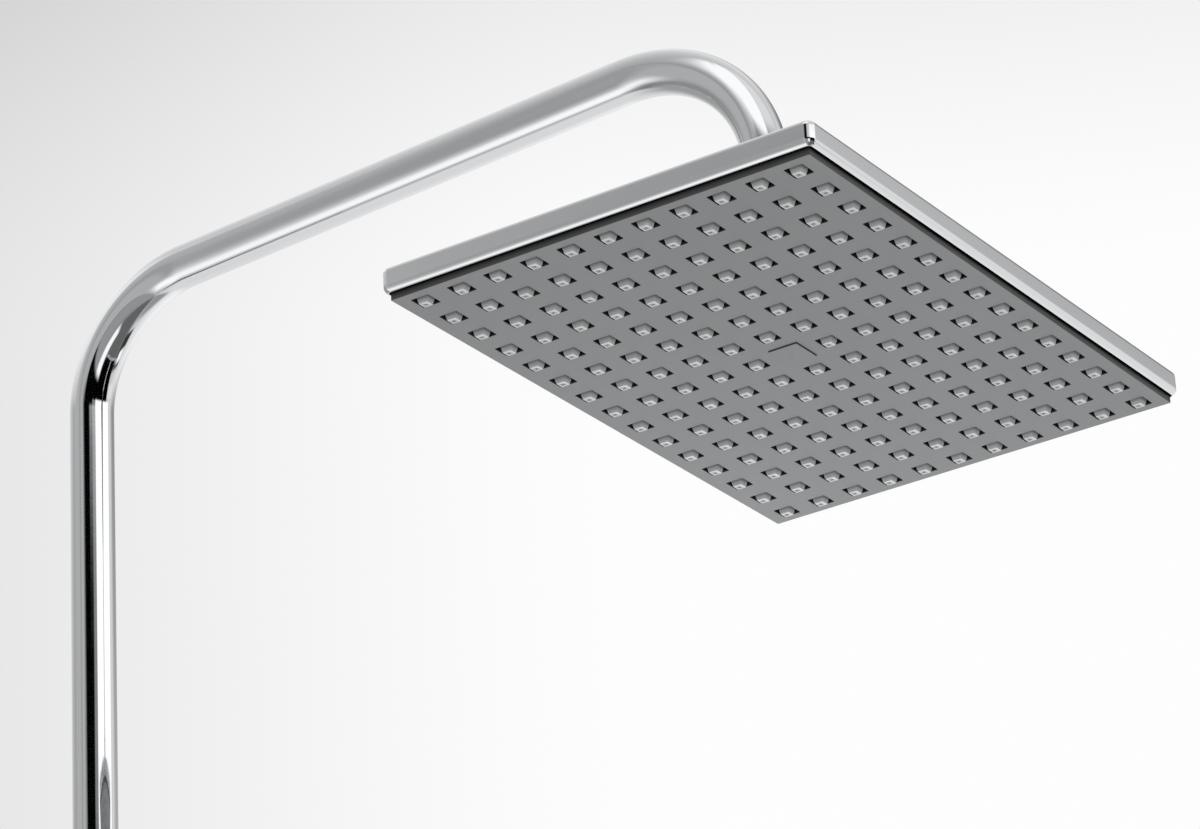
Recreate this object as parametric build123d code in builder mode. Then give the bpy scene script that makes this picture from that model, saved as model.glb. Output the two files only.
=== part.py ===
from build123d import *
from math import acos, asin, cos, degrees, radians, sin, sqrt, tan
import os

os.makedirs("parts", exist_ok=True)

# Rectangular overhead shower head on a bent riser arm. Millimetres, +Z up.
# The origin is the centre of the riser's lower cut end. The wall is behind the
# riser, at +Y. The arm reaches towards -Y, and the head's long side lies along X.

# Riser arm: one chromed tube with two bends
tube_diameter = 20.0
tube_wall = 1.2
arm_reach = 365.0
arm_height = 154.4
arm_rise = 2.8
leg_lean = 5.6
riser_bend_radius = 58.0
head_bend_radius = 64.0

# Heights of the head: its face plate over the riser's end, its ball over the face
face_height = 130.0
ball_height = 31.0

# Shell: outline, wall, roof, roundings, and how far the face plate stands out of its rim
shell_length = 294.0
shell_width = 201.0
shell_wall = 2.2
shell_roof = 1.7
shell_corner_radius = 3.75
shell_edge_radius = 2.2
shell_rim_radius = 3.4
plate_stands_out = 2.95
plate_gap = 0.8

# Face plate: a tray with square holes, whose walls rise inside the shell
face_thickness = 3.0
face_wall = 1.6
face_wall_height = 3.2
face_corner_radius = 0.5

# Nozzle pattern: the middle one is left out for the cap
nozzle_columns = 15
nozzle_rows = 11
nozzle_margin_x = 9.25
nozzle_margin_y = 10.5
hole_length = 8.9
hole_width = 8.4
nozzle_tip = 4.2
nozzle_root = 6.4
nozzle_stands_out = 1.45
channel_inlet = 3.0
channel_outlet = 1.1

# Water chamber: silicone mat, chamber depth, chamber plate
mat_thickness = 1.4
chamber_depth = 3.2
chamber_wall = 2.0
chamber_roof = 1.8

# Snap lugs between the face plate's wall and the chamber plate
lug_length = 8.0
lug_depth = 0.7
lug_height = 1.0
lugs_on_long_side = 4
lugs_on_short_side = 2

# Hidden screws between chamber plate and face plate, halfway between nozzles:
# their columns and rows are counted in pitches from the middle
fixing_columns = (-6.5, -2.5, 2.5, 6.5)
fixing_rows = (-4.5, 4.5)
fixing_radius = 1.4
fixing_head_radius = 2.8
fixing_head_height = 1.6
fixing_boss_wall = 1.4
fixing_sleeve_wall = 1.2
fixing_floor = 0.6

# Locating ribs inside the shell's walls
rib_length = 8.0
rib_height = 5.5
ribs_on_long_side = 5
ribs_on_short_side = 3

# Centre fixing: cap, screw, and the bosses it passes through
cap_length = 16.0
cap_width = 13.6
cap_corner_radius = 0.5
cap_stands_out = 0.6
cap_recess = 1.2
screw_head_radius = 3.5
screw_head_height = 2.0
screw_radius = 2.0
screw_socket_radius = 1.3
screw_socket_depth = 1.2
face_boss_radius = 5.5
face_boss_height = 2.4
hub_radius = 4.0
hub_roof = 1.0
hub_arms = 3
hub_arm_width = 2.4

# Inlet bush moulded into the chamber plate
bush_radius = 10.4
bush_bore_radius = 7.5
bush_flange_radius = 15.0
bush_flange = 1.6
bush_lip = 0.6
bush_boss_wall = 2.0
shell_gasket_thickness = 0.6
socket_washer_thickness = 1.5

# Ball stud: ball, neck, hexagon with the female thread
ball_radius = 10.0
neck_radius = 7.0
stud_bore_radius = 4.5
neck_length = 14.5
hexagon_width = 25.0
hexagon_height = 16.5
hexagon_chamfer = 1.2
thread_radius = 10.4
regulator_radius = 7.6
regulator_height = 3.0
regulator_floor = 2.5
regulator_slots = 4
regulator_slot_length = 3.2
regulator_slot_width = 1.4

# Filter screen, sealing washer and the nipple brazed into the tube's end
screen_thickness = 0.4
screen_mesh = 2.4
screen_hole = 1.8
screen_count = 5
washer_thickness = 2.0
washer_bore_radius = 6.2
nipple_bore_radius = 6.5
nipple_collar_radius = 11.5
nipple_collar = 2.5
spigot_length = 12.0

# Ball seat: liner, friction ring, rubber seal
liner_radius = 11.2
liner_top = 4.7
liner_bottom = 2.3
ring_radius = 13.6
ring_top = 6.45
ring_bottom = 5.25
ring_mouth_radius = 10.4
seat_angle = 64.0
seal_angle = 53.0
seal_lip = 0.75
seal_reach = 1.95
seal_floor = 9.5

# Joint socket and its collar nut
socket_wall = 1.65
socket_top = 4.0
socket_web = 2.0
socket_passage_radius = 6.0
barrel_radius = 16.0
barrel_top = 7.4
foot_radius = 17.5
foot_height = 2.0
nut_radius = 18.2
nut_top = 8.5
nut_lip = 2.0
nut_mouth_radius = 11.2
nut_bottom = 7.0
nut_chamfer = 1.0
nut_flat_width = 33.0
nut_flat_height = 9.0

# Clearances
fit_clearance = 0.05
seat_clearance = 0.3

# Places worked out from the sizes above
tube_radius = tube_diameter / 2
tube_bore_radius = tube_radius - tube_wall
head_y = -arm_reach
ball_z = face_height + ball_height
rise_slope = tan(radians(arm_rise))
lean_slope = tan(radians(leg_lean))

mat_z = face_height + face_thickness
chamber_z = mat_z + mat_thickness
roof_z = chamber_z + chamber_depth
roof_top_z = roof_z + chamber_roof
boss_top_z = roof_top_z + bush_flange + bush_lip
shell_roof_z = boss_top_z + shell_gasket_thickness
shell_top_z = shell_roof_z + shell_roof
shell_rim_z = face_height + plate_stands_out
rim_drop = shell_rim_radius - sqrt(shell_rim_radius**2 - (shell_rim_radius - shell_wall) ** 2)
shell_base_z = shell_rim_z - rim_drop
bush_top_z = ball_z - seal_floor - socket_web - socket_washer_thickness

face_length = shell_length - 2 * (shell_wall + plate_gap)
face_width = shell_width - 2 * (shell_wall + plate_gap)
tray_length = face_length - 2 * face_wall
tray_width = face_width - 2 * face_wall
insert_length = tray_length - 2 * seat_clearance
insert_width = tray_width - 2 * seat_clearance
cavity_length = insert_length - 2 * chamber_wall
cavity_width = insert_width - 2 * chamber_wall
shell_inner_length = shell_length - 2 * shell_wall
shell_inner_width = shell_width - 2 * shell_wall
nozzle_pitch_x = (face_length - 2 * nozzle_margin_x) / (nozzle_columns - 1)
nozzle_pitch_y = (face_width - 2 * nozzle_margin_y) / (nozzle_rows - 1)
nozzle_length = face_thickness + nozzle_stands_out

boss_radius = fixing_radius + fixing_boss_wall
sleeve_radius = boss_radius + seat_clearance + fixing_sleeve_wall

# Places of the hidden screws
fixing_spots = [
    (column * nozzle_pitch_x, row * nozzle_pitch_y)
    for column in fixing_columns
    for row in fixing_rows
]

# Nozzle places, without the middle one
nozzle_spots = [
    ((column - (nozzle_columns - 1) / 2) * nozzle_pitch_x, (row - (nozzle_rows - 1) / 2) * nozzle_pitch_y)
    for column in range(nozzle_columns)
    for row in range(nozzle_rows)
    if (column, row) != (nozzle_columns // 2, nozzle_rows // 2)
]


# A level plane on the head's axis, at a height above the riser's cut end
def head_plane(height):
    return Plane(origin=(0, head_y, height))


# Section planes and axes of the joint: upright for the socket, leaning for the ball stud
ball_centre = (0, head_y, ball_z)
stud_direction = (0, sin(radians(leg_lean)), cos(radians(leg_lean)))
stud_front = (0, -cos(radians(leg_lean)), sin(radians(leg_lean)))
socket_section = Plane(origin=ball_centre, x_dir=(1, 0, 0), z_dir=(0, -1, 0))
socket_axis = Axis(ball_centre, (0, 0, 1))
stud_section = Plane(origin=ball_centre, x_dir=(1, 0, 0), z_dir=stud_front)
stud_axis = Axis(ball_centre, stud_direction)
stud_plane = Plane(origin=ball_centre, x_dir=(1, 0, 0), z_dir=stud_direction)

# Heights along the stud's own axis, from the ball's centre
stud_top = neck_length + hexagon_height
regulator_z = neck_length + regulator_floor
screen_z = regulator_z + regulator_height
washer_z = screen_z + screen_thickness
nipple_end = washer_z + washer_thickness
tube_end = stud_top + nipple_collar

# The tube's two corners: riser with arm, arm with drop leg
riser_corner_z = face_height + arm_height - arm_reach * rise_slope
leg_corner_y = (head_y + (riser_corner_z - ball_z) * lean_slope) / (1 + rise_slope * lean_slope)
leg_corner_z = riser_corner_z - leg_corner_y * rise_slope
tube_end_point = Vector(ball_centre) + Vector(stud_direction) * tube_end


# Riser arm: riser, arm and drop leg as one bent tube, open below
with BuildPart() as riser_arm:
    with BuildLine() as route:
        FilletPolyline(
            (0, 0, 0),
            (0, 0, riser_corner_z),
            (0, leg_corner_y, leg_corner_z),
            tube_end_point,
            radius=(riser_bend_radius, head_bend_radius),
        )
    with BuildSketch(Plane.XY):
        Circle(tube_radius)
        Circle(tube_bore_radius, mode=Mode.SUBTRACT)
    sweep(path=route.line)
riser_arm.part.label = "riser_arm"
export_step(riser_arm.part, "parts/riser_arm.step")

# Brass nipple: spigot in the tube, collar, male thread into the ball stud
with BuildPart() as arm_nipple:
    with BuildSketch(stud_section):
        Polygon(
            (nipple_bore_radius, nipple_end),
            (thread_radius, nipple_end),
            (thread_radius, stud_top),
            (nipple_collar_radius, stud_top),
            (nipple_collar_radius, tube_end),
            (tube_bore_radius - fit_clearance, tube_end),
            (tube_bore_radius - fit_clearance, tube_end + spigot_length),
            (nipple_bore_radius, tube_end + spigot_length),
            align=None,
        )
    revolve(axis=stud_axis)
arm_nipple.part.label = "arm_nipple"
export_step(arm_nipple.part, "parts/arm_nipple.step")

# Rubber sealing washer under the nipple
with BuildPart() as inlet_washer:
    with BuildSketch(stud_plane.offset(washer_z)):
        Circle(thread_radius)
        Circle(washer_bore_radius, mode=Mode.SUBTRACT)
    extrude(amount=washer_thickness)
inlet_washer.part.label = "inlet_washer"
export_step(inlet_washer.part, "parts/inlet_washer.step")

# Filter screen: a thin steel disc with square meshes, fewer and larger than the real one's
with BuildPart() as filter_screen:
    half = (screen_count - 1) / 2
    meshes = [
        ((column - half) * screen_mesh, (row - half) * screen_mesh)
        for column in range(screen_count)
        for row in range(screen_count)
        if abs(column - half) + abs(row - half) < 2 * half
    ]
    with BuildSketch(stud_plane.offset(screen_z)):
        Circle(thread_radius)
        with Locations(*meshes):
            Rectangle(screen_hole, screen_hole, mode=Mode.SUBTRACT)
    extrude(amount=screen_thickness)
filter_screen.part.label = "filter_screen"
export_step(filter_screen.part, "parts/filter_screen.step")

# Flow regulator: a disc with slots round its middle
with BuildPart() as flow_regulator:
    with BuildSketch(stud_plane.offset(regulator_z)):
        Circle(regulator_radius - fit_clearance)
        with PolarLocations((stud_bore_radius - regulator_slot_width), regulator_slots):
            Rectangle(regulator_slot_width, regulator_slot_length, mode=Mode.SUBTRACT)
    extrude(amount=regulator_height)
flow_regulator.part.label = "flow_regulator"
export_step(flow_regulator.part, "parts/flow_regulator.step")

# Ball stud: hollow ball, neck and hexagon with the female thread
with BuildPart() as ball_stud:
    with BuildSketch(stud_plane.offset(neck_length)):
        RegularPolygon(hexagon_width / 2, 6, major_radius=False)
    extrude(amount=hexagon_height)
    hexagon_corner = hexagon_width / 2 / cos(radians(30))
    with BuildSketch(stud_section):
        Polygon(
            (0, neck_length),
            (hexagon_width / 2, neck_length),
            (hexagon_corner, neck_length + hexagon_chamfer),
            (hexagon_corner, stud_top - hexagon_chamfer),
            (hexagon_width / 2, stud_top),
            (0, stud_top),
            align=None,
        )
    revolve(axis=stud_axis, mode=Mode.INTERSECT)
    with BuildSketch(stud_section):
        with BuildLine():
            mouth_angle = -degrees(acos(stud_bore_radius / ball_radius))
            neck_angle = degrees(acos(neck_radius / ball_radius))
            ball = CenterArc((0, 0), ball_radius, mouth_angle, neck_angle - mouth_angle)
            Polyline(ball @ 1, (neck_radius, neck_length), (0, neck_length), (0, (ball @ 0).Y), ball @ 0)
        make_face()
    revolve(axis=stud_axis)
    with BuildSketch(stud_section):
        Polygon(
            (0, -ball_radius),
            (stud_bore_radius, -ball_radius),
            (stud_bore_radius, regulator_z),
            (regulator_radius, regulator_z),
            (regulator_radius, screen_z),
            (thread_radius + fit_clearance, screen_z),
            (thread_radius + fit_clearance, stud_top),
            (0, stud_top),
            align=None,
        )
    revolve(axis=stud_axis, mode=Mode.SUBTRACT)
ball_stud.part.label = "ball_stud"
export_step(ball_stud.part, "parts/ball_stud.step")


# Where a cone that touches a ball of this radius at this angle from its pole stands at a height
def touching_cone(radius, angle, height):
    return (radius - height * cos(radians(angle))) / sin(radians(angle))


# Thin liner on the ball: cone and cylinder inside, ball-shaped outside
with BuildPart() as ball_liner:
    bearing = ball_radius + fit_clearance
    bearing_z = (bearing - bearing * sin(radians(seat_angle))) / cos(radians(seat_angle))
    with BuildSketch(socket_section):
        with BuildLine():
            low = -degrees(asin(liner_bottom / liner_radius))
            high = degrees(asin(liner_top / liner_radius))
            rim = CenterArc((0, 0), liner_radius, low, high - low)
            Polyline(
                rim @ 1,
                (touching_cone(bearing, seat_angle, liner_top), liner_top),
                (bearing, bearing_z),
                (bearing, -liner_bottom),
                rim @ 0,
            )
        make_face()
    revolve(axis=socket_axis)
ball_liner.part.label = "ball_liner"
export_step(ball_liner.part, "parts/ball_liner.step")

# Friction ring round the liner, pressed down by the collar nut
with BuildPart() as friction_ring:
    race = liner_radius + fit_clearance
    race_z = (race - race * sin(radians(seat_angle))) / cos(radians(seat_angle))
    waist_z = liner_top + 2 * seat_clearance
    with BuildSketch(socket_section):
        Polygon(
            (ring_radius, -ring_bottom),
            (ring_radius, ring_top),
            (ring_mouth_radius, ring_top),
            (touching_cone(race, seat_angle, waist_z), waist_z),
            (race, race_z),
            (race, -ring_bottom),
            align=None,
        )
    revolve(axis=socket_axis)
friction_ring.part.label = "friction_ring"
export_step(friction_ring.part, "parts/friction_ring.step")

# Rubber seal: its cone lies against the underside of the ball
with BuildPart() as ball_seal:
    contact = ball_radius + fit_clearance
    contact_z = -contact * cos(radians(seal_angle))
    lip_z = contact_z + seal_lip
    heel_z = contact_z - seal_reach
    with BuildSketch(socket_section):
        Polygon(
            (touching_cone(contact, seal_angle, -lip_z), lip_z),
            (ring_radius, lip_z),
            (ring_radius, -seal_floor),
            (touching_cone(contact, seal_angle, -heel_z), -seal_floor),
            (touching_cone(contact, seal_angle, -heel_z), heel_z),
            align=None,
        )
    revolve(axis=socket_axis)
ball_seal.part.label = "ball_seal"
export_step(ball_seal.part, "parts/ball_seal.step")

# Joint socket: foot on the shell, female thread below, cup and male thread above
socket_inner_radius = ring_radius + fit_clearance
socket_outer_radius = socket_inner_radius + socket_wall
foot_z = shell_top_z - ball_z
web_z = -seal_floor - socket_web
with BuildPart() as joint_socket:
    with BuildSketch(socket_section):
        Polygon(
            (bush_radius + fit_clearance, foot_z),
            (foot_radius, foot_z),
            (foot_radius, foot_z + foot_height),
            (barrel_radius, foot_z + foot_height + foot_radius - barrel_radius),
            (barrel_radius, -barrel_top),
            (socket_outer_radius, -barrel_top),
            (socket_outer_radius, socket_top),
            (socket_inner_radius, socket_top),
            (socket_inner_radius, -seal_floor),
            (socket_passage_radius, -seal_floor),
            (socket_passage_radius, web_z),
            (bush_radius + fit_clearance, web_z),
            align=None,
        )
    revolve(axis=socket_axis)
joint_socket.part.label = "joint_socket"
export_step(joint_socket.part, "parts/joint_socket.step")

# Collar nut: lip over the friction ring, thread on the socket, two flats for a spanner
with BuildPart() as collar_nut:
    with BuildSketch(socket_section):
        Polygon(
            (nut_mouth_radius, nut_top),
            (nut_radius - nut_chamfer, nut_top),
            (nut_radius, nut_top - nut_chamfer),
            (nut_radius, -nut_bottom),
            (socket_outer_radius + fit_clearance, -nut_bottom),
            (socket_outer_radius + fit_clearance, nut_top - nut_lip),
            (nut_mouth_radius, nut_top - nut_lip),
            align=None,
        )
    revolve(axis=socket_axis)
    flat_depth = nut_radius - nut_flat_width / 2
    with BuildSketch(head_plane(ball_z - nut_bottom)):
        with Locations((0, nut_flat_width / 2), (0, -nut_flat_width / 2 - flat_depth)):
            Rectangle(2 * nut_radius, flat_depth, align=(Align.CENTER, Align.MIN))
    extrude(amount=nut_flat_height, mode=Mode.SUBTRACT)
collar_nut.part.label = "collar_nut"
export_step(collar_nut.part, "parts/collar_nut.step")

# Brass inlet bush: flange held in the chamber plate, male thread through the shell
with BuildPart() as inlet_bush:
    with BuildSketch(head_plane(roof_top_z)):
        Circle(bush_flange_radius)
    extrude(amount=bush_flange)
    with BuildSketch(head_plane(roof_top_z)):
        Circle(bush_radius)
    extrude(amount=bush_top_z - roof_top_z)
    with BuildSketch(head_plane(roof_top_z)):
        Circle(bush_bore_radius)
    extrude(amount=bush_top_z - roof_top_z, mode=Mode.SUBTRACT)
inlet_bush.part.label = "inlet_bush"
export_step(inlet_bush.part, "parts/inlet_bush.step")

# Rubber washer between the bush's end and the socket's web
with BuildPart() as socket_washer:
    with BuildSketch(head_plane(bush_top_z)):
        Circle(bush_radius)
        Circle(bush_bore_radius, mode=Mode.SUBTRACT)
    extrude(amount=socket_washer_thickness)
socket_washer.part.label = "socket_washer"
export_step(socket_washer.part, "parts/socket_washer.step")

# Flat gasket between the chamber plate's boss and the shell's roof
with BuildPart() as shell_gasket:
    with BuildSketch(head_plane(boss_top_z)):
        Circle(bush_flange_radius + bush_boss_wall)
        Circle(bush_radius + seat_clearance, mode=Mode.SUBTRACT)
    extrude(amount=shell_gasket_thickness)
shell_gasket.part.label = "shell_gasket"
export_step(shell_gasket.part, "parts/shell_gasket.step")

# Shell: open below, rounded edges, hole for the bush, locating ribs on its walls
with BuildPart() as head_shell:
    with BuildSketch(head_plane(shell_base_z)):
        RectangleRounded(shell_length, shell_width, shell_corner_radius)
    extrude(amount=shell_top_z - shell_base_z)
    fillet(head_shell.faces().sort_by(Axis.Z)[-1].edges(), shell_edge_radius)
    fillet(head_shell.faces().sort_by(Axis.Z)[0].edges(), shell_rim_radius)
    with BuildSketch(head_plane(shell_base_z)):
        RectangleRounded(shell_inner_length, shell_inner_width, shell_corner_radius - shell_wall)
    extrude(amount=shell_roof_z - shell_base_z, mode=Mode.SUBTRACT)
    rib_depth = plate_gap + face_wall - seat_clearance
    with BuildSketch(head_plane(shell_roof_z - rib_height)):
        long_spacing = shell_inner_length / ribs_on_long_side
        short_spacing = shell_inner_width / ribs_on_short_side
        with GridLocations(long_spacing, shell_inner_width - rib_depth, ribs_on_long_side, 2):
            Rectangle(rib_length, rib_depth)
        with GridLocations(shell_inner_length - rib_depth, short_spacing, 2, ribs_on_short_side):
            Rectangle(rib_depth, rib_length)
    extrude(amount=rib_height)
    with BuildSketch(head_plane(shell_roof_z)):
        Circle(bush_radius + seat_clearance)
    extrude(amount=shell_roof, mode=Mode.SUBTRACT)
head_shell.part.label = "head_shell"
export_step(head_shell.part, "parts/head_shell.step")

# Snap lug places: on the tray's inner walls, long sides and short sides
lug_z = chamber_z + seat_clearance
lug_spacing_x = tray_length / lugs_on_long_side
lug_spacing_y = tray_width / lugs_on_short_side


# Rectangles along the tray's inner walls, for the lugs and for their notches
def along_walls(length, depth):
    with GridLocations(lug_spacing_x, tray_width - depth, lugs_on_long_side, 2):
        Rectangle(length, depth)
    with GridLocations(tray_length - depth, lug_spacing_y, 2, lugs_on_short_side):
        Rectangle(depth, length)


# Chamber plate: the water chamber's roof and walls, hub for the centre screw, boss for the bush
with BuildPart() as chamber_plate:
    with BuildSketch(head_plane(chamber_z)):
        Rectangle(insert_length, insert_width)
    extrude(amount=roof_top_z - chamber_z)
    with BuildSketch(head_plane(chamber_z)):
        Rectangle(cavity_length, cavity_width)
    extrude(amount=chamber_depth, mode=Mode.SUBTRACT)
    with BuildSketch(head_plane(lug_z - seat_clearance)):
        along_walls(lug_length + 2 * seat_clearance, lug_depth + seat_clearance)
    extrude(amount=lug_height + 2 * seat_clearance, mode=Mode.SUBTRACT)
    with BuildSketch(head_plane(roof_top_z)):
        Circle(bush_flange_radius + bush_boss_wall)
        Circle(bush_flange_radius, mode=Mode.SUBTRACT)
    extrude(amount=bush_flange)
    with BuildSketch(head_plane(roof_top_z + bush_flange)):
        Circle(bush_flange_radius + bush_boss_wall)
        Circle(bush_radius, mode=Mode.SUBTRACT)
    extrude(amount=bush_lip)
    with BuildSketch(head_plane(roof_z)):
        Circle(bush_bore_radius)
    extrude(amount=chamber_roof, mode=Mode.SUBTRACT)
    with BuildSketch(head_plane(roof_z)):
        with PolarLocations(bush_bore_radius / 2, hub_arms):
            Rectangle(bush_bore_radius + hub_arm_width / 2, hub_arm_width)
    extrude(amount=chamber_roof)
    hub_z = mat_z + face_boss_height
    with BuildSketch(head_plane(hub_z)):
        Circle(hub_radius)
    extrude(amount=roof_top_z - hub_z)
    with BuildSketch(head_plane(hub_z)):
        Circle(screw_radius + fit_clearance)
    extrude(amount=roof_top_z - hub_roof - hub_z, mode=Mode.SUBTRACT)
    with BuildSketch(head_plane(chamber_z)):
        with Locations(*fixing_spots):
            Circle(sleeve_radius)
            Circle(boss_radius + seat_clearance, mode=Mode.SUBTRACT)
    extrude(amount=chamber_depth)
    with BuildSketch(head_plane(roof_z)):
        with Locations(*fixing_spots):
            Circle(fixing_radius + seat_clearance)
    extrude(amount=chamber_roof, mode=Mode.SUBTRACT)
chamber_plate.part.label = "chamber_plate"
export_step(chamber_plate.part, "parts/chamber_plate.step")

# Hidden screws: from the chamber plate's roof down into the face plate's bosses
with BuildPart() as chamber_screws:
    with BuildSketch(head_plane(roof_top_z)):
        with Locations(*fixing_spots):
            Circle(fixing_head_radius)
    extrude(amount=fixing_head_height)
    with BuildSketch(head_plane(roof_top_z)):
        with Locations(*fixing_spots):
            Circle(fixing_radius)
    extrude(amount=mat_z + fixing_floor + seat_clearance - roof_top_z)
chamber_screws.part.label = "chamber_screws"
export_step(chamber_screws.part, "parts/chamber_screws.step")


# A blunt square pyramid that narrows downwards from the origin
def blunt_pyramid(top, bottom, length):
    inset = (top - bottom) / 2
    return Wedge(
        top,
        length,
        top,
        inset,
        inset,
        top - inset,
        top - inset,
        rotation=(-90, 0, 0),
        align=(Align.CENTER, Align.MIN, Align.CENTER),
        mode=Mode.PRIVATE,
    )


nozzle = blunt_pyramid(nozzle_root, nozzle_tip, nozzle_length)
channel = blunt_pyramid(channel_inlet, channel_outlet, mat_thickness + nozzle_length)

# Nozzle mat: one silicone sheet that carries every nozzle, each with its water channel
with BuildPart() as nozzle_mat:
    with BuildSketch(head_plane(mat_z)):
        Rectangle(insert_length, insert_width)
        Circle(face_boss_radius + fit_clearance, mode=Mode.SUBTRACT)
        with Locations(*fixing_spots):
            Circle(boss_radius + fit_clearance, mode=Mode.SUBTRACT)
    extrude(amount=mat_thickness)
    with Locations(*[(x, head_y + y, mat_z) for x, y in nozzle_spots]):
        add(nozzle)
    with Locations(*[(x, head_y + y, chamber_z) for x, y in nozzle_spots]):
        add(channel, mode=Mode.SUBTRACT)
nozzle_mat.part.label = "nozzle_mat"
export_step(nozzle_mat.part, "parts/nozzle_mat.step")

# Face plate: a tray with one square hole for each nozzle, centre boss, cap recess, snap lugs
with BuildPart() as face_plate:
    with BuildSketch(head_plane(face_height)):
        RectangleRounded(face_length, face_width, face_corner_radius)
        with Locations(*nozzle_spots):
            Rectangle(hole_length, hole_width, mode=Mode.SUBTRACT)
    extrude(amount=face_thickness)
    with BuildSketch(head_plane(mat_z)):
        RectangleRounded(face_length, face_width, face_corner_radius)
        Rectangle(tray_length, tray_width, mode=Mode.SUBTRACT)
    extrude(amount=face_wall_height)
    with BuildSketch(head_plane(lug_z)):
        along_walls(lug_length, lug_depth)
    extrude(amount=lug_height)
    with BuildSketch(head_plane(mat_z)):
        Circle(face_boss_radius)
    extrude(amount=face_boss_height)
    with BuildSketch(head_plane(mat_z)):
        with Locations(*fixing_spots):
            Circle(boss_radius)
    extrude(amount=roof_z - seat_clearance - mat_z)
    with BuildSketch(head_plane(mat_z + fixing_floor)):
        with Locations(*fixing_spots):
            Circle(fixing_radius + fit_clearance)
    extrude(amount=roof_z - seat_clearance - mat_z - fixing_floor, mode=Mode.SUBTRACT)
    with BuildSketch(head_plane(face_height)):
        RectangleRounded(
            cap_length + 2 * fit_clearance,
            cap_width + 2 * fit_clearance,
            cap_corner_radius,
        )
    extrude(amount=cap_recess, mode=Mode.SUBTRACT)
    with BuildSketch(head_plane(face_height + cap_recess)):
        Circle(screw_head_radius + fit_clearance)
    extrude(amount=screw_head_height, mode=Mode.SUBTRACT)
    with BuildSketch(head_plane(face_height)):
        Circle(screw_radius + fit_clearance)
    extrude(amount=face_thickness + face_boss_height, mode=Mode.SUBTRACT)
face_plate.part.label = "face_plate"
export_step(face_plate.part, "parts/face_plate.step")

# Centre screw: from under the cap up into the chamber plate's hub
with BuildPart() as centre_screw:
    screw_z = face_height + cap_recess
    screw_end_z = roof_top_z - hub_roof - seat_clearance
    with BuildSketch(head_plane(screw_z)):
        Circle(screw_head_radius)
    extrude(amount=screw_head_height)
    with BuildSketch(head_plane(screw_z)):
        Circle(screw_radius)
    extrude(amount=screw_end_z - screw_z)
    with BuildSketch(head_plane(screw_z)):
        RegularPolygon(screw_socket_radius, 6)
    extrude(amount=screw_socket_depth, mode=Mode.SUBTRACT)
centre_screw.part.label = "centre_screw"
export_step(centre_screw.part, "parts/centre_screw.step")

# Bare cap over the centre screw
with BuildPart() as centre_cap:
    with BuildSketch(head_plane(face_height - cap_stands_out)):
        RectangleRounded(cap_length, cap_width, cap_corner_radius)
    extrude(amount=cap_stands_out + cap_recess)
centre_cap.part.label = "centre_cap"
export_step(centre_cap.part, "parts/centre_cap.step")
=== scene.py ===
import math

import bpy
import numpy as np
from mathutils import Matrix, Vector


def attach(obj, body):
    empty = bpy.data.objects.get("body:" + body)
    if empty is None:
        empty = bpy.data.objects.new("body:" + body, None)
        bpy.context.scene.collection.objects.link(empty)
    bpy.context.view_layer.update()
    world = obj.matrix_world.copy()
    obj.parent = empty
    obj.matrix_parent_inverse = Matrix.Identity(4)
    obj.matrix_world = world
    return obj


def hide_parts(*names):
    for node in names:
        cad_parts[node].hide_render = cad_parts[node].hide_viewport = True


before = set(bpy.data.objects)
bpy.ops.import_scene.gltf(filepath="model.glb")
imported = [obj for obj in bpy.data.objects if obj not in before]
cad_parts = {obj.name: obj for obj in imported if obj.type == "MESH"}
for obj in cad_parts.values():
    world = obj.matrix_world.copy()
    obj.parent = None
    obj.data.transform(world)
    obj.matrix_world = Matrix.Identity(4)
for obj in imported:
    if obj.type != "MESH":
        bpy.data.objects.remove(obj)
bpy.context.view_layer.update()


# Riser arm. One drawn brass tube, 20 mm across, bent twice on a mandrel, polished and chromed all over.
# Its lower end is sawn square, deburred and open. The mesh is 0.05 mm smaller in radius than the CAD tube,
# so that it stays inside the box of the CAD mesh.
def grid(points, close_rows=False):
    """Points and quads of one or more grids, ... x rows x columns x 3. Face (i, j) joins point (i, j) with
    its neighbours (i, j + 1), (i + 1, j + 1) and (i + 1, j). The last column joins the first, and with
    close_rows the last row does too."""
    rows, columns = points.shape[-3:-1]
    i = np.arange(rows if close_rows else rows - 1)[:, None]
    j = np.arange(columns)[None, :]
    below, beside = (i + 1) % rows, (j + 1) % columns
    corners = (i * columns + j, i * columns + beside, below * columns + beside, below * columns + j)
    quads = np.stack(np.broadcast_arrays(*corners), axis=-1).reshape(-1, 4)
    points = points.reshape(-1, 3)
    first = np.arange(0, len(points), rows * columns)[:, None, None]
    return points, (first + quads).reshape(-1, 4)


def joined(*parts):
    """Several pairs of points and quads as one."""
    before = np.cumsum([0] + [len(points) for points, quads in parts[:-1]])
    quads = [quads + count for (points, quads), count in zip(parts, before)]
    return np.vstack([points for points, _ in parts]), np.vstack(quads)


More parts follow.
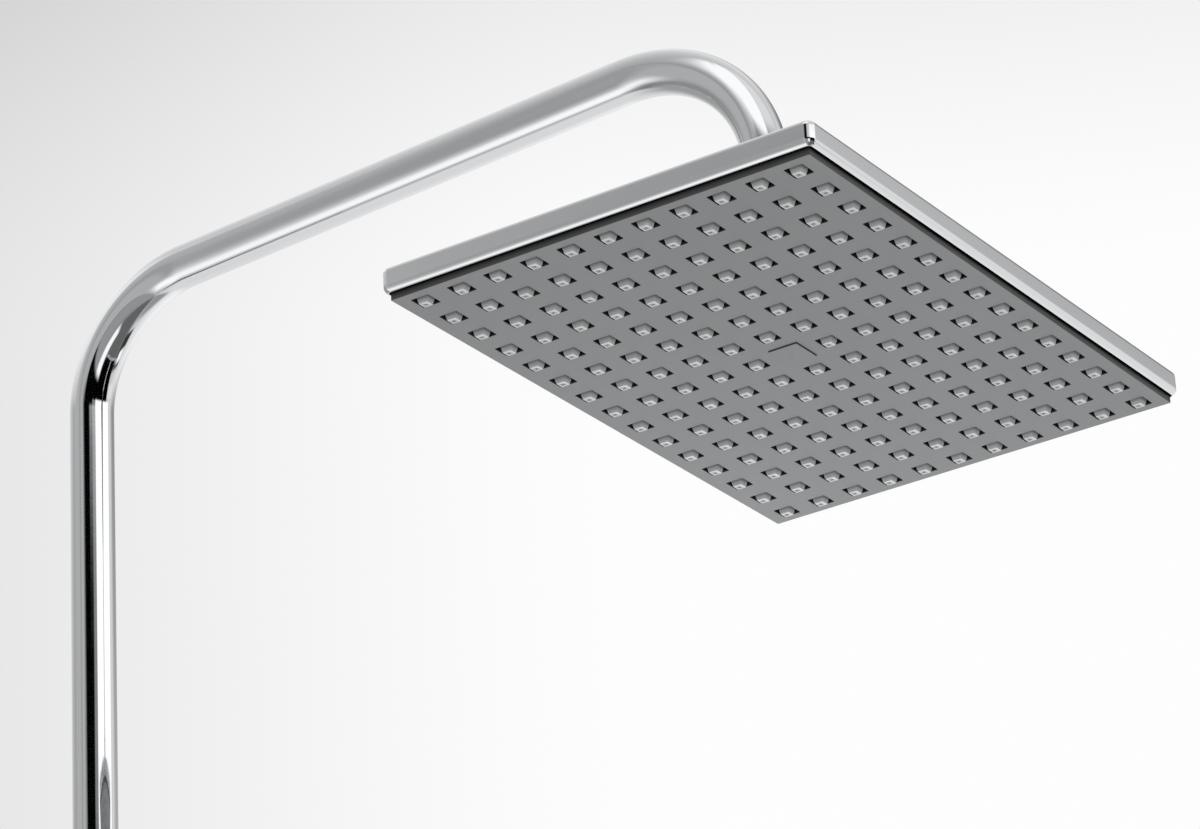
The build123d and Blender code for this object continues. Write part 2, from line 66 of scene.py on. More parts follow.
def shown(name, surface, material, body, slot, *replaced, weld=0.0):
    """Puts points and quads into the scene as a smooth mesh, with its material and CAD body, and hides the
    CAD nodes that it replaces; the slot is not used. Points closer than the weld distance become one."""
    points, quads = surface
    mesh = bpy.data.meshes.new(name)
    mesh.vertices.add(len(points))
    mesh.vertices.foreach_set("co", np.asarray(points, np.float32).ravel())
    mesh.loops.add(quads.size)
    mesh.loops.foreach_set("vertex_index", quads.astype(np.int32).ravel())
    mesh.polygons.add(len(quads))
    mesh.polygons.foreach_set("loop_start", np.arange(0, quads.size, 4, dtype=np.int32))
    mesh.polygons.foreach_set("use_smooth", np.ones(len(quads), bool))
    mesh.update(calc_edges=True)
    mesh.validate()
    mesh.materials.append(material)
    piece = bpy.data.objects.new(name, mesh)
    bpy.context.scene.collection.objects.link(piece)
    if weld:
        piece.modifiers.new("one_sheet", "WELD").merge_threshold = weld
    piece.modifiers.new("face_normals", "WEIGHTED_NORMAL").weight = 100
    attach(piece, body)
    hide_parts(*replaced)


class Signal:
    """A shader socket. Arithmetic on signals and numbers adds Math nodes."""

    def __init__(self, graph, socket):
        self.graph = graph
        self.socket = socket

    def math(self, operation, *others):
        """This signal and the others through one Math node."""
        values = dict(enumerate((self,) + others))
        return self.graph.node("ShaderNodeMath", {"operation": operation}, values)

    def __add__(self, other):
        return self.math("ADD", other)

    __radd__ = __add__

    def __mul__(self, other):
        return self.math("MULTIPLY", other)

    def __sub__(self, other):
        return self.math("SUBTRACT", other)

    def __rsub__(self, other):
        return self * -1.0 + other

    def above(self, edge, softness):
        """0 below the edge, 1 above it, with a smooth change as wide as the softness."""
        ends = {"From Min": edge - softness / 2, "From Max": edge + softness / 2}
        kind = {"interpolation_type": "SMOOTHSTEP"}
        return self.graph.node("ShaderNodeMapRange", kind, {"Value": self, **ends})

    def within(self, low, high, softness):
        """1 between two edges and 0 outside them."""
        return self.above(low, softness) * (1.0 - self.above(high, softness))

    def towards(self, value, share):
        """This signal where the share is 0, and the value where it is 1."""
        return self + (value - self) * share


class Graph:
    """A node tree. node() adds any node: its kind, its settings, and its sockets' values or links."""

    def __init__(self, tree):
        tree.nodes.clear()
        self.tree = tree

    def node(self, kind, settings=None, sockets=None, output=0):
        made = self.tree.nodes.new(kind)
        for name, value in (settings or {}).items():
            setattr(made, name, value)
        for name, value in (sockets or {}).items():
            if isinstance(value, Signal):
                self.tree.links.new(value.socket, made.inputs[name])
            else:
                made.inputs[name].default_value = value
        return Signal(self, made.outputs[output]) if made.outputs else None

    def place(self):
        """Object coordinates, in metres."""
        return self.node("ShaderNodeTexCoord", output="Object")

    def part(self, vector, axis):
        """One of a vector's three parts."""
        return self.node("ShaderNodeSeparateXYZ", None, {0: vector}, axis)

    def noise(self, scale, detail=2.0, stretch=None):
        """Noise from 0 to 1 in object coordinates, finer along an axis with a larger stretch."""
        place = self.place()
        if stretch:
            place = self.node("ShaderNodeVectorMath", {"operation": "MULTIPLY"}, {0: place, 1: stretch})
        return self.node("ShaderNodeTexNoise", None, {"Vector": place, "Scale": scale, "Detail": detail})

    def bump(self, height, distance):
        """A normal that tilts with the height, whose full range stands for the distance."""
        return self.node("ShaderNodeBump", None, {"Height": height, "Distance": distance})

    def blend(self, share, first, second):
        """A colour that goes from the first to the second as the share goes from 0 to 1."""
        colours = {6: first, 7: second}
        return self.node("ShaderNodeMix", {"data_type": "RGBA"}, {0: share, **colours}, 2)

    def surface(self, **sockets):
        """The Principled shader; base_color=... sets its socket Base Color, and so on."""
        titles = [key.replace("_", " ").title().replace("Ior", "IOR") for key in sockets]
        return self.node("ShaderNodeBsdfPrincipled", None, dict(zip(titles, sockets.values())))


def finish(name, build):
    """A material of that name, whose nodes build(graph) adds; build returns the shader."""
    material = bpy.data.materials.new(name)
    material.use_nodes = True
    graph = Graph(material.node_tree)
    graph.node("ShaderNodeOutputMaterial", None, {"Surface": build(graph)})
    return material


def tone(red, green=None, blue=None):
    """The colour that a screen shows with these 0 to 255 values, as a shader wants it."""
    shares = [value / 255 for value in (red, green or red, blue or green or red)]
    curve = [((c + 0.055) / 1.055) ** 2.4 if c > 0.04045 else c / 12.92 for c in shares]
    return (*curve, 1.0)


def bent_route(start, corners, radii, end, steps):
    """Points and directions along a flat route: straight runs, and an arc inside each corner. The arc
    starts radius * tan(turn / 2) before the corner and turns evenly through its angle."""
    points, headings = [start], []
    stations = [start, *corners, end]
    for before, corner, after, radius in zip(stations, corners, stations[2:], radii):
        ahead = (corner - before) / np.linalg.norm(corner - before)
        onward = (after - corner) / np.linalg.norm(after - corner)
        turn = math.acos(ahead @ onward)
        inward = onward - ahead * (ahead @ onward)
        inward = inward / np.linalg.norm(inward)
        first = corner - ahead * radius * math.tan(turn / 2)
        angle = np.linspace(0, turn, steps)[:, None]
        points.append(first + radius * (ahead * np.sin(angle) + inward * (1 - np.cos(angle))))
        headings.append(ahead * np.cos(angle) + inward * np.sin(angle))
    points.append(end)
    return np.vstack(points), np.vstack([headings[0][:1], *headings, headings[-1][-1:]])


def riser_tube(radius, bore, burr, steps=128):
    """A ring carried along the route: point = centre + heading * shift + r * (cos a * X + sin a * N), with
    N the route's normal in its own plane. It runs along the outside, round the rim, and back along the
    bore. The route lies in the plane of Y and Z."""
    corners = [np.array([0.0, 0.26655]), np.array([-0.35296, 0.28381])]
    drop_end = np.array([-0.36173, 0.19434])
    bend_radii = [0.058, 0.064]
    centre, heading = bent_route(np.zeros(2), corners, bend_radii, drop_end, steps=49)
    last = len(centre) - 1
    turn = np.linspace(0, math.pi / 2, 4)
    rim, drawn = radius - burr * (1 - np.cos(turn)), burr * (1 - np.sin(turn))
    way = np.concatenate((np.zeros(4, int), np.arange(1, last), np.full(4, last), np.arange(last, -1, -1)))
    width = np.concatenate((rim[::-1], np.full(last - 1, radius), rim, np.full(last + 1, bore)))
    shift = np.concatenate((drawn[::-1], np.zeros(last - 1), -drawn, np.zeros(last + 1)))
    across = np.stack((-heading[:, 1], heading[:, 0]), axis=1)[way]
    angle = np.linspace(0, 2 * math.pi, steps, endpoint=False)
    middle = centre[way] + heading[way] * shift[:, None]
    plane = middle[:, None] + (width[:, None] * np.sin(angle))[:, :, None] * across[:, None]
    return np.concatenate(((width[:, None] * np.cos(angle))[:, :, None], plane), axis=2)[:, ::-1]


def bright_chrome(name, ripple_depth, haze_level):
    """Chrome plate: nearly a mirror, with the faint ripple of what lies under it and a polisher's haze."""

    def build(graph):
        ripple = graph.noise(24.0, 1.0) + graph.noise(150.0) * 0.1
        haze = graph.noise(60.0, 4.0)
        return graph.surface(
            base_color=graph.blend(graph.noise(9.0), tone(226, 228, 230), tone(232, 233, 234)),
            metallic=1.0,
            roughness=haze * 0.05 + haze_level,
            normal=graph.bump(ripple, ripple_depth),
        )

    return finish(name, build)


tube_chrome = bright_chrome("tube_chrome", ripple_depth=0.0001, haze_level=0.02)
tube = grid(riser_tube(radius=0.00995, bore=0.0088, burr=0.0003), close_rows=True)
shown("riser_tube", tube, tube_chrome, "arm", "chromed_brass", "riser_arm")


# Head shell. Moulded plastic, 294 x 201 mm, plated with bright chrome. Its rim is rounded well under and its
# top edge less. Blocks inside its walls keep the chamber plate in place, and the joint's foot clamps it.
# The outlines below are in millimetres, and so are the head's axis, the ball's centre and the shell's sides.
head_y, ball_z = -365.0, 161.0
shell_length, shell_width = 294.0, 201.0
corner_signs = np.array([[1, 1], [-1, 1], [-1, -1], [1, -1]])


def arc(centre, radius, first, last, steps):
    """Points on a circle between two angles in degrees: centre + radius * (cos a, sin a)."""
    angle = np.radians(np.linspace(first, last, steps))[:, None]
    return np.array(centre) + radius * np.concatenate((np.cos(angle), np.sin(angle)), axis=1)


def outline(length, width, corner, inset, least=0.2, steps=7, along=9):
    """Points round a rectangle with rounded corners, moved inwards: corner centre + r * (cos a, sin a), then
    even points along the side to the next corner. The corner's radius shrinks with the inset."""
    inset = np.asarray(inset, float)[:, None, None]
    radius = np.maximum(corner - inset, least)
    angle = np.arange(4)[:, None] * math.pi / 2 + np.linspace(0, math.pi / 2, steps)
    x = corner_signs[:, :1] * (length / 2 - inset - radius) + radius * np.cos(angle)
    y = corner_signs[:, 1:] * (width / 2 - inset - radius) + radius * np.sin(angle)
    corners = np.stack((x, y), axis=-1)
    leave, reach = corners[:, :, -1:], np.roll(corners, -1, axis=1)[:, :, :1]
    share = (np.arange(along) + 1)[:, None] / (along + 1)
    points = np.concatenate((corners, leave + (reach - leave) * share), axis=2)
    return points.reshape(len(points), -1, 2)


def at_head(flat, height):
    """Millimetres across from the head's axis, and heights over the riser's end, as points in metres."""
    height = np.broadcast_to(np.asarray(height, float)[..., None, None], (*flat.shape[:-1], 1))
    return np.concatenate((flat + (0.0, head_y), height), axis=-1) / 1000


def carried(profile, length, width, corner, **details):
    """A profile of (inset, height) carried round a rectangle with rounded corners."""
    profile = np.vstack(profile)
    return at_head(outline(length, width, corner, profile[:, 0], **details), profile[:, 1])


def blocks(x, y, height, size):
    """Blocks about the head's axis, one for each x and y: corner = centre + (-1 or 1) * size / 2. Sizes are
    in millimetres, and the points in metres."""
    centres = np.array([(u, v + head_y, height) for u in x for v in y])
    signs = np.array([(i, j, k) for k in (-1, 1) for j in (-1, 1) for i in (-1, 1)])
    points = (centres[:, None] + signs * np.array(size) / 2).reshape(-1, 3) / 1000
    faces = [[0, 2, 3, 1], [4, 5, 7, 6], [0, 1, 5, 4], [2, 6, 7, 3], [0, 4, 6, 2], [1, 3, 7, 5]]
    return points, (np.arange(len(centres))[:, None, None] * 8 + np.array(faces)).reshape(-1, 4)


def head_shell():
    """The wall's profile carried round, then drawn in to the hole: circle points r * (cos a, sin a) at each
    outline point's own angle a, so that roof and ceiling are flat fans."""
    wall = [
        arc((2.2, 141.7), 2.2, 90, 180, 9),
        arc((3.4, 136.131), 3.4, 180, 242.6, 14),
        arc((1.95, 133.335), 0.25, 262, 360, 5),
        [(2.2, 141.8), (2.6, 142.2)],
    ]
    around = carried(wall, shell_length, shell_width, 3.75)
    angle = np.arctan2(around[-1, :, 1] - head_y / 1000, around[-1, :, 0])
    hole = np.array([(11.1, 142.2), (10.7, 142.2), (10.7, 143.6), (11.0, 143.9)])
    ring = hole[:, :1, None] * np.stack((np.cos(angle), np.sin(angle)), axis=-1)
    return np.concatenate((around, at_head(ring, hole[:, 1])))[:, ::-1]


steps_long, steps_short = (np.arange(5) - 2) * 57.92, (np.arange(3) - 1) * 65.53
block_inset, block_z = 3.25, 139.45
block_x, block_y = shell_length / 2 - block_inset, shell_width / 2 - block_inset
shell = joined(
    grid(head_shell(), close_rows=True),
    blocks(steps_long, (-block_y, block_y), block_z, (8.0, 2.1, 5.5)),
    blocks((-block_x, block_x), steps_short, block_z, (2.1, 8.0, 5.5)),
)
shell_chrome = bright_chrome("shell_chrome", ripple_depth=0.00006, haze_level=0.02)
shown("head_shell_plated", shell, shell_chrome, "head", "chromed_plastic", "head_shell")


# Face plate. Satin grey plastic, moulded as a shallow tray: 164 nearly square holes, a recess for the cap, a
# wall all round that rises inside the shell, snap lugs on it, and hollow bosses for the hidden screws.
plate_bottom, recess_top, plate_top, mat_top = 130.0, 131.2, 133.0, 134.4
pitch_x, pitch_y = 19.25, 17.4
columns, rows = (np.arange(15) - 7) * pitch_x, (np.arange(11) - 5) * pitch_y
drilled = np.ones((15, 11), bool)
drilled[7, 5] = False


def cells(reach_x, reach_y, chosen, rings, steps=2):
    """A piece of sheet for each chosen nozzle place, as a stack of rings: corner centre + r * (cos a, sin a)
    through each corner's quarter turn. A ring is (half length, half width, corner radius, height), in
    millimetres; one without a half length runs along the cell's border, halfway to its neighbours."""
    spans = []
    for places, reach in ((columns, reach_x), (rows, reach_y)):
        between = (places[1:] + places[:-1]) / 2
        spans.append((places, np.concatenate(([-reach], between)), np.concatenate((between, [reach]))))
    place, low, high = (np.stack(np.meshgrid(*pair, indexing="ij"), -1)[chosen] for pair in zip(*spans))
    angle = np.arange(4)[:, None] * math.pi / 2 + np.linspace(0, math.pi / 2, steps)
    round_corner = np.stack((np.cos(angle), np.sin(angle)), axis=-1)
    stack = []
    for length, width, corner, height in rings:
        centre = place if length else (low + high) / 2
        half = np.array([length, width]) if length else ((high - low) / 2)[:, None, None]
        flat = centre[:, None, None] + corner_signs[:, None] * (half - corner) + corner * round_corner
        flat = flat.reshape(len(place), -1, 2)
        stack.append(at_head(flat, np.full(len(place), height)))
    return grid(np.stack(stack, axis=1)[..., ::-1, :])


def tubes(x, y, profile, steps=12):
    """Small turned shapes about the head's axis, one for each x and y: centre + r * (cos a, sin a)."""
    centres = np.array([(u, v) for u in x for v in y])[:, None, None]
    radius, height = np.array(profile).T
    angle = np.arange(steps) * 2 * math.pi / steps
    flat = centres + radius[:, None, None] * np.stack((np.cos(angle), np.sin(angle)), axis=-1)
    return grid(at_head(flat, height)[..., ::-1, :], close_rows=True)


def satin_grey(face_z, wall_depth):
    """Satin grey plastic with a fine moulded grain. Faces are matt and lighter; walls, above the face, are
    darker and smoother, and carry painted shade that gets darker the further in they go."""

    def build(graph):
        height = graph.part(graph.place(), 2)
        grain = graph.noise(2400.0, 1.0)
        cloud = graph.noise(14.0, 3.0)
        wall = height.above(face_z + 0.00006, 0.0001)
        # Painted shade: the walls go from dark grey to nearly black the further in they reach
        depth_shade = height.above(face_z + wall_depth / 2, wall_depth * 1.4)
        face = graph.blend(cloud, tone(113, 114, 115), tone(119, 120, 121))
        side = graph.blend(depth_shade, tone(70, 70, 71), tone(22, 22, 23))
        return graph.surface(
            base_color=graph.blend(wall, face, side),
            roughness=grain * 0.08 + 0.42 - wall * 0.08,
            specular_ior_level=0.35,
            normal=graph.bump(grain, 0.000012),
        )

    return build


hole_rings = [
    (None, None, 0.02, plate_bottom),
    (4.55, 4.30, 0.45, plate_bottom),
    (4.45, 4.20, 0.35, 130.12),
    (4.45, 4.20, 0.35, plate_top),
    (None, None, 0.02, plate_top),
]
middle_rings = [
    (None, None, 0.02, plate_bottom),
    (8.15, 6.95, 0.60, plate_bottom),
    (8.05, 6.85, 0.50, 130.1),
    (8.05, 6.85, 0.50, recess_top),
    (3.55, 3.55, 3.54, recess_top),
    (3.55, 3.55, 3.54, 133.2),
    (2.05, 2.05, 2.04, 133.2),
    (2.05, 2.05, 2.04, 135.4),
    (5.50, 5.50, 5.49, 135.4),
    (5.50, 5.50, 5.49, plate_top),
    (None, None, 0.02, plate_top),
]
tray_wall = [
    [(1.0, 130.01)],
    arc((0.3, 130.3), 0.3, 270, 180, 5),
    [(0.0, 136.0), (0.2, 136.2), (1.4, 136.2), (1.6, 136.0), (1.6, 133.0), (2.2, 132.99)],
]
boss = [(0.01, 133.6), (1.45, 133.6), (1.45, 137.3), (2.8, 137.3), (2.8, 132.9)]
boss_x, boss_y = np.array([-6.5, -2.5, 2.5, 6.5]) * pitch_x, np.array([-4.5, 4.5]) * pitch_y
lug_x, lug_z = np.array([-1.5, -0.5, 0.5, 1.5]) * 71.2, 135.2
plate = joined(
    cells(143.7, 97.2, drilled, hole_rings),
    cells(143.7, 97.2, ~drilled, middle_rings, steps=5),
    grid(carried(tray_wall, 288, 195, 0.5), close_rows=True),
    blocks(lug_x, (-95.55, 95.55), lug_z, (8.0, 0.7, 1.0)),
    blocks((-142.05, 142.05), (-47.95, 47.95), lug_z, (0.7, 8.0, 1.0)),
    tubes(boss_x, boss_y, boss),
)
# Its hole walls and tray wall carry painted shade, darkest furthest in
plate_grey = finish("plate_grey", satin_grey(face_z=0.130, wall_depth=0.003))
shown("spray_plate", plate, plate_grey, "head", "grey_plastic", "face_plate", weld=0.00004)


# Nozzle mat. One sheet of pale grey silicone under the chamber. It carries 164 soft nozzles, blunt pyramids
# with a narrow water channel, that come through the plate's holes and can be rubbed clean of lime.
def soft_silicone(graph):
    """Pale silicone: the free tips are pale, and the roots, down in their holes, are painted dark as shade.
    """
    height = graph.part(graph.place(), 2)
    # Painted shade: down is 1 on the free tips and 0 inside the plate's holes, where the roots are painted
    # dark
    down = 1.0 - height.above(0.1301, 0.0034)
    cloud = graph.noise(300.0)
    pale = graph.blend(cloud, tone(174, 176, 177), tone(190, 191, 192))
    return graph.surface(
        base_color=graph.blend(down, tone(84, 85, 86), pale),
        roughness=cloud * 0.1 + 0.42,
        specular_ior_level=0.4,
        normal=graph.bump(graph.noise(1500.0), 0.00001),
    )


nozzle_rings = [
    (None, None, 0.02, plate_top),
    (3.20, 3.20, 0.50, plate_top),
    (2.13, 2.13, 0.38, 128.70),
    (1.98, 1.98, 0.34, 128.55),
    (0.50, 0.50, 0.30, 128.55),
    (1.50, 1.50, 0.50, mat_top),
    (None, None, 0.02, mat_top),
]
sheet_rings = [
    (None, None, 0.02, plate_top),
    (5.55, 5.55, 5.54, plate_top),
    (5.55, 5.55, 5.54, mat_top),
    (None, None, 0.02, mat_top),
]
mat = joined(
    cells(142.1, 95.6, drilled, nozzle_rings),
    cells(142.1, 95.6, ~drilled, sheet_rings, steps=5),
)
silicone = finish("grey_silicone", soft_silicone)
shown("nozzle_sheet", mat, silicone, "head", "grey_silicone", "nozzle_mat", weld=0.00004)


# Centre cap. A small bare rectangle of the plate's own plastic, pressed into its recess over the screw. It
# stands 0.6 mm out of the plate, and its edges are rounded.
cap_profile = [
    [(6.79, 129.4)],
    arc((0.3, 129.7), 0.3, 270, 180, 5),
    [(0.0, 131.0), (0.2, recess_top), (6.79, recess_top)],
]
cap = grid(carried(cap_profile, 16.0, 13.6, 0.5, least=0.001, along=3), close_rows=True)
# Its sides carry painted shade, darkest where they meet the recess
cap_grey = finish("cap_grey", satin_grey(face_z=0.1294, wall_depth=0.0012))
shown("centre_cap_bare", cap, cap_grey, "head", "grey_plastic", "centre_cap")


# Collar nut. Turned and chromed brass. It presses the friction ring on the ball, has a rounded upper edge
# and two flats for a spanner, and screws on the socket.
def turned(profile, lean=0.0, limit=None, steps=144):
    """A profile of (radius, height) about the ball's centre, turned about an axis that leans towards +Y:
    (r cos a, r sin a, height). A third value of 1 in the profile keeps r within limit(a)."""
    profile = np.array([(*row, 0)[:3] for row in profile], float)
    angle = np.arange(steps) * 2 * math.pi / steps
    radius = np.repeat(profile[:, :1], steps, axis=1)
    if limit:
        radius = np.where(profile[:, 2:] > 0, np.minimum(radius, limit(angle)), radius)
    x, y, z = radius * np.cos(angle), radius * np.sin(angle), np.repeat(profile[:, 1:2], steps, axis=1)
    c, s = math.cos(math.radians(lean)), math.sin(math.radians(lean))
    points = np.stack((x, c * y + s * z + head_y, c * z - s * y + ball_z), axis=-1)
    return grid(points / 1000, close_rows=True)


def two_flats(angle):
    """Distance from the axis to two flats 33 mm apart, square to Y."""
    return 16.5 / np.maximum(np.abs(np.sin(angle)), 0.1)


nut = [
    (15.35, 6.5),
    (15.35, -7.0),
    (17.8, -7.0, 1),
    (18.2, -6.6, 1),
    (18.2, 2.0, 1),
    (18.2, 2.0),
    *arc((17.2, 7.5), 1.0, 0, 90, 6),
    (11.5, 8.5),
    (11.2, 8.2),
    (11.2, 6.5),
]
fitting_chrome = bright_chrome("fitting_chrome", ripple_depth=0.00003, haze_level=0.03)
nut_body = turned(nut, limit=two_flats)
shown("collar_nut_turned", nut_body, fitting_chrome, "head", "chromed_brass", "collar_nut")


# Joint socket. Turned and chromed brass: a foot with a bevelled edge on the shell, a plain barrel, and above
# it the cup for ball and ring, with the thread that the nut screws on.
socket = [
    (10.45, -17.1),
    (17.2, -17.1),
    *arc((17.2, -16.8), 0.3, -90, 0, 4),
    *arc((17.0, -15.3), 0.5, 0, 60, 4),
    *arc((16.5, -13.7), 0.5, 240, 180, 4),
    (16.0, -7.7),
    (15.7, -7.4),
    (15.3, -7.4),
    (15.3, 3.6),
    (14.9, 4.0),
    (13.65, 4.0),
    (13.65, -9.5),
    (6.0, -9.5),
    (6.0, -11.5),
    (10.45, -11.5),
]
shown("joint_socket_turned", turned(socket), fitting_chrome, "head", "chromed_brass", "joint_socket")


# Ball stud. One piece of brass, turned and milled, then chromed: a hollow ball, a neck, and a hexagon of
# 25 mm with the female thread. It leans with the drop leg and is screwed on the arm's nipple.
def hexagon(angle):
    """Distance from the axis to a hexagon's side, 12.5 mm away at its middle, with a corner at 0 degrees."""
    return 12.5 / np.cos(np.mod(angle, math.pi / 3) - math.pi / 6)


stud = [
    *arc((0.0, 0.0), 10.0, -63.26, 45.57, 28),
    (7.0, 7.6),
    *arc((7.8, 13.7), 0.8, 180, 90, 5),
    (12.5, 14.5),
    (14.4338, 15.7, 1),
    (14.4338, 29.8, 1),
    (12.5, 31.0),
    (10.85, 31.0),
    (10.45, 30.6),
    (10.45, 20.0),
    (7.6, 20.0),
    (7.6, 17.0),
    (4.5, 17.0),
]
stud_body = turned(stud, lean=5.6, limit=hexagon)
shown("ball_stud_turned", stud_body, fitting_chrome, "arm", "chromed_brass", "ball_stud")


# Liner, friction ring and flow regulator. Turned or moulded white acetal, with fine tool marks round them.
# The liner sits on the ball, the ring round it, and the regulator in the stud's throat.
def dress(material, *names):
    """Gives these CAD nodes the material, in place of the one that they were packed with."""
    for name in names:
        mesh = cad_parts[name].data
        mesh.materials.clear()
        mesh.materials.append(material)


def acetal(graph):
    """White acetal, with tool marks that run round the axis."""
    marks = graph.noise(500.0, 2.0, (0.15, 0.15, 6.0))
    return graph.surface(
        base_color=graph.blend(graph.noise(120.0), tone(224, 223, 217), tone(232, 231, 227)),
        roughness=marks * 0.12 + 0.38,
        normal=graph.bump(marks, 0.00002),
    )


dress(finish("white_acetal", acetal), "ball_liner", "friction_ring", "flow_regulator")


# Seals. Black rubber, moulded and dusted with talc: the ball's seal, the washers at both ends of the inlet,
# and the flat gasket under the shell's roof.
def rubber(graph):
    """Matt black rubber with a little pale bloom."""
    bloom = graph.noise(220.0, 4.0)
    return graph.surface(
        base_color=graph.blend(bloom.above(0.55, 0.4) * 0.35, tone(27, 27, 28), tone(70, 70, 70)),
        roughness=bloom * 0.15 + 0.55,
        normal=graph.bump(graph.noise(1800.0), 0.00003),
    )


dress(finish("black_rubber", rubber), "ball_seal", "inlet_washer", "socket_washer", "shell_gasket")


# Chamber plate. Dark grey plastic, moulded with a fine spark grain, welded shut round the inlet bush. It is
# hidden inside the shell and screwed to the face plate.
def dark_moulding(graph):
    """Dark plastic with a spark-eroded grain and faint flow lines."""
    grain = graph.noise(1300.0, 3.0)
    flow = graph.noise(30.0, 3.0, (1.0, 3.0, 1.0))
    return graph.surface(
        base_color=graph.blend(flow, tone(52, 53, 55), tone(66, 67, 70)),
        roughness=grain * 0.15 + 0.45,
        normal=graph.bump(grain, 0.00004),
    )


dress(finish("dark_moulding", dark_moulding), "chamber_plate")


# Nipple and inlet bush. Bare brass, turned, a little tarnished. The nipple is brazed into the arm, and the
# bush is moulded into the chamber plate.
def bare_brass(graph):
    """Brass with turning marks, and tarnish in clouds."""
    marks = graph.noise(700.0, 2.0, (0.1, 0.1, 6.0))
    tarnish = graph.noise(90.0, 4.0)
    return graph.surface(
        base_color=graph.blend(tarnish, tone(212, 176, 104), tone(180, 142, 84)),
        metallic=1.0,
        roughness=marks * 0.12 + tarnish * 0.1 + 0.2,
        normal=graph.bump(marks, 0.00002),
    )


dress(finish("bare_brass", bare_brass), "arm_nipple", "inlet_bush")


# Screws and filter screen. Plain stainless steel: hidden screws from the chamber plate into the face plate,
# the screw under the cap, and the punched screen in the inlet.
def plain_steel(graph):
    """Steel with fine drawn lines."""
    lines = graph.noise(900.0, 2.0, (1.0, 1.0, 0.1))
    return graph.surface(
        base_color=graph.blend(graph.noise(80.0), tone(150, 152, 155), tone(166, 168, 170)),
        metallic=1.0,
        roughness=lines * 0.15 + 0.24,
        normal=graph.bump(lines, 0.00001),
    )


dress(finish("plain_steel", plain_steel), "filter_screen", "chamber_screws", "centre_screw")


# Floor. A plain pale studio floor, below the camera. It is clear from its lower side, so that the spray face
# can be looked at from any angle.
floor_mesh = bpy.data.meshes.new("floor")
floor_reach, floor_z = 9.0, -1.3
floor_corners = [(x * floor_reach, y * floor_reach, floor_z) for x, y in corner_signs]
floor_mesh.from_pydata(floor_corners, [], [(0, 1, 2, 3)])
floor = bpy.data.objects.new("floor", floor_mesh)
bpy.context.scene.collection.objects.link(floor)


def pale_floor(graph):
    """Painted board, slightly uneven."""
    cloud = graph.noise(0.8)
    return graph.surface(
        base_color=graph.blend(cloud, tone(240), tone(246)),
        roughness=cloud * 0.1 + 0.75,
        alpha=1.0 - graph.node("ShaderNodeNewGeometry", output="Backfacing"),
    )


floor.data.materials.append(finish("pale_floor", pale_floor))
floor.visible_glossy = False
floor.visible_diffuse = False


# Studio. A simplified room for the chrome to mirror. Its panels started from a fit of the chrome's tones to
# the photograph, and were then thinned and rounded. What the real room holds there isn't known.
world = bpy.data.worlds.new("studio")
bpy.context.scene.world = world
world.use_nodes = True
sky = Graph(world.node_tree)
toward = sky.node("ShaderNodeTexCoord", output="Generated")
toward = sky.node("ShaderNodeVectorMath", {"operation": "NORMALIZE"}, {0: toward})
part_x, part_y = sky.part(toward, 0), sky.part(toward, 1)
azimuth = part_y.math("ARCTAN2", part_x) * (180 / math.pi)
elevation = sky.part(toward, 2).math("ARCSINE") * (180 / math.pi)
room = 0.65 + part_x * 0.4 + part_y * 0.2

# Soft panels: two azimuths, two elevations, the brightness between them, and the width over which the edges
# fade. Angles are in degrees.
panels = [
    ((100, 178), (-90, 26), 0.5, 2.5),  # grey of the shell's short side and the riser's left side
    ((-200, -135), (-90, 18), 0.35, 8),  # grey in the riser's bend
    ((150, 153), (-35, 32), 0.25, 14),  # a little shade in the arm and on the shell's short rim
    ((100, 170), (-75, -50), 1.2, 20),  # white bands of the arm, its bend and the shell's short rim
    ((75, 105), (-60, 20), 0.1, 40),  # dark part of the shell's short rim, and shade in the arm
    ((27, 76), (-65, 31), 0.85, 10),  # outer edges of arm and bends, a little under white
    ((157, 200), (37, 78), 1.2, 23),  # light in the drop leg's bend
    ((-200, -123), (38, 83), 1.2, 8),  # light beside it in the same bend
    ((-55, 24), (-90, -55), 0.35, 18),  # small grey part of the riser's bend
    ((-145, -64), (-90, -12), 0.15, 23),  # dark part of the riser's bend
    ((-144, -66), (-16, 20), 0.0, 1.5),  # black shape in the riser's bend
    ((172, 200), (20, 30), 0.0, 12),  # left edge of the riser's black strip
    ((-200, -140), (4, 31), 0.0, 5),  # black strip along the riser and at the shell's corner
    ((-144, -125), (-38, 3), 1.2, 8),  # white crescent in the riser's bend
    ((-67, -40), (-44, -8), 0.05, 7),  # short dark streak in the riser's bend
    ((-58, -41), (-25, -13), 1.2, 6),  # white streak inside it
    ((-61, -22), (5, 17), 0.9, 2.5),  # pale touch below it
    ((-29, 24), (17, 48), 0.2, 32),  # grey of the shell's long side and the riser's right edge
    ((-155, -103), (26, 29), 1.05, 7),  # thin bright line on the riser and at the shell's corner
    ((116, 138), (-60, -27), 1.2, 30),  # softer light beside the white bands
    ((-124, -51), (19.5, 29), 1.3, 3),  # white of the riser's right half and at the shell's corner
    ((52, 97), (-41, 19), 0.4, 36),  # shade in the drop leg's bend
    ((62, 127), (31, 47), 1.0, 13),  # light in the riser's bend and where it meets the arm
    ((-124, -65), (44, 83), 0.85, 14),  # pale part of the drop leg's bend
]
for around, upwards, value, fade in panels:
    room = room.towards(value, azimuth.within(*around, fade) * elevation.within(*upwards, fade))

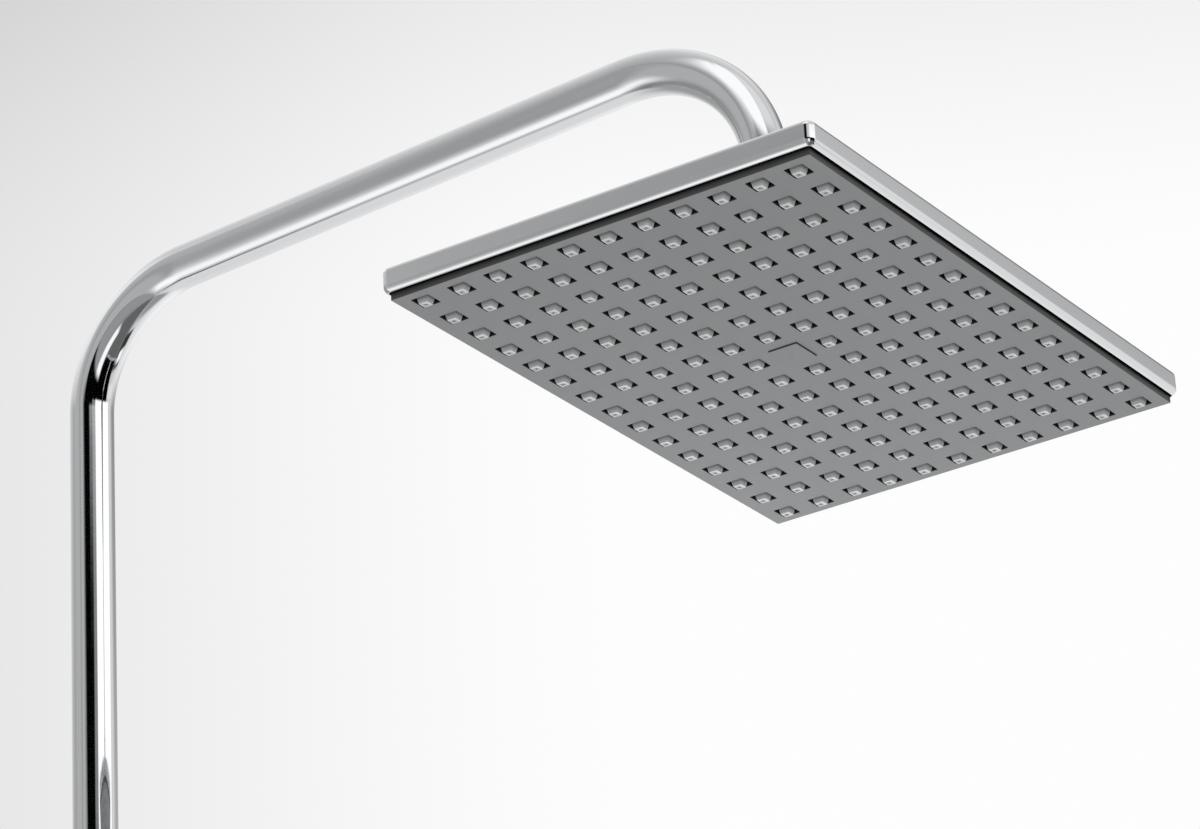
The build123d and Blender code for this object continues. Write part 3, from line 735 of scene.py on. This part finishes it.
# The camera sees a pale backdrop instead, which is one tone with the floor's far edge near the horizon
backdrop = 0.985 - azimuth.within(38.0, 150.0, 13.0) * 0.25 - elevation.above(29.5, 8.0) * 0.27
backdrop = backdrop.towards(0.89, 1.0 - elevation.above(8.0, 16.0))
glossy = sky.node("ShaderNodeLightPath", output="Is Glossy Ray")
seen = sky.node("ShaderNodeLightPath", output="Is Camera Ray")
level = 1.0 + (room - 1.0) * glossy
level = level.towards(backdrop, seen)

# A blend stops at its second colour, so that colour is the brightest white that a panel needs
brightest = 1.3
colour = sky.blend(level * (1 / brightest), (0, 0, 0, 1), (brightest, brightest, brightest, 1))
light = sky.node("ShaderNodeBackground", None, {"Color": colour})
sky.node("ShaderNodeOutputWorld", None, {"Surface": light})


# Lamp. A small soft box below the head's far corner. It brightens the face plate towards that corner, and
# neither the camera nor the chrome sees it.
lamp_data = bpy.data.lights.new("fill_lamp", "AREA")
lamp_data.energy = 1.8
lamp_data.size = 0.25
lamp = bpy.data.objects.new("fill_lamp", lamp_data)
bpy.context.scene.collection.objects.link(lamp)
aim = Vector((0.35, 0.365, -0.28)).to_track_quat("Z", "Y")
lamp.matrix_world = Matrix.Translation((0.35, 0.0, -0.15)) @ aim.to_matrix().to_4x4()
lamp.visible_glossy = False
lamp.visible_camera = False


# Camera. The photograph's own place and angle, found by fitting the head and the tube to it. Its focal
# length is a count of the photograph's pixels.
photo_width, focal_length = 1200, 5101
right = Vector((0.55782584, -0.82848556, -0.04941675))
down = Vector((0.32309641, 0.27161643, -0.90655018))
ahead = Vector((0.76448613, 0.48973074, 0.41919537))
camera_data = bpy.data.cameras.new("camera")
camera_data.sensor_width = 36.0
camera_data.lens = camera_data.sensor_width * focal_length / photo_width
camera_data.clip_start = 0.05
camera_data.clip_end = 60.0
camera = bpy.data.objects.new("camera", camera_data)
bpy.context.scene.collection.objects.link(camera)
turn = Matrix((right, -down, -ahead)).transposed().to_4x4()
camera.matrix_world = Matrix.Translation((-1.6236, -1.3105, -0.7594)) @ turn
bpy.context.scene.camera = camera
bpy.context.scene.view_settings.view_transform = "Standard"
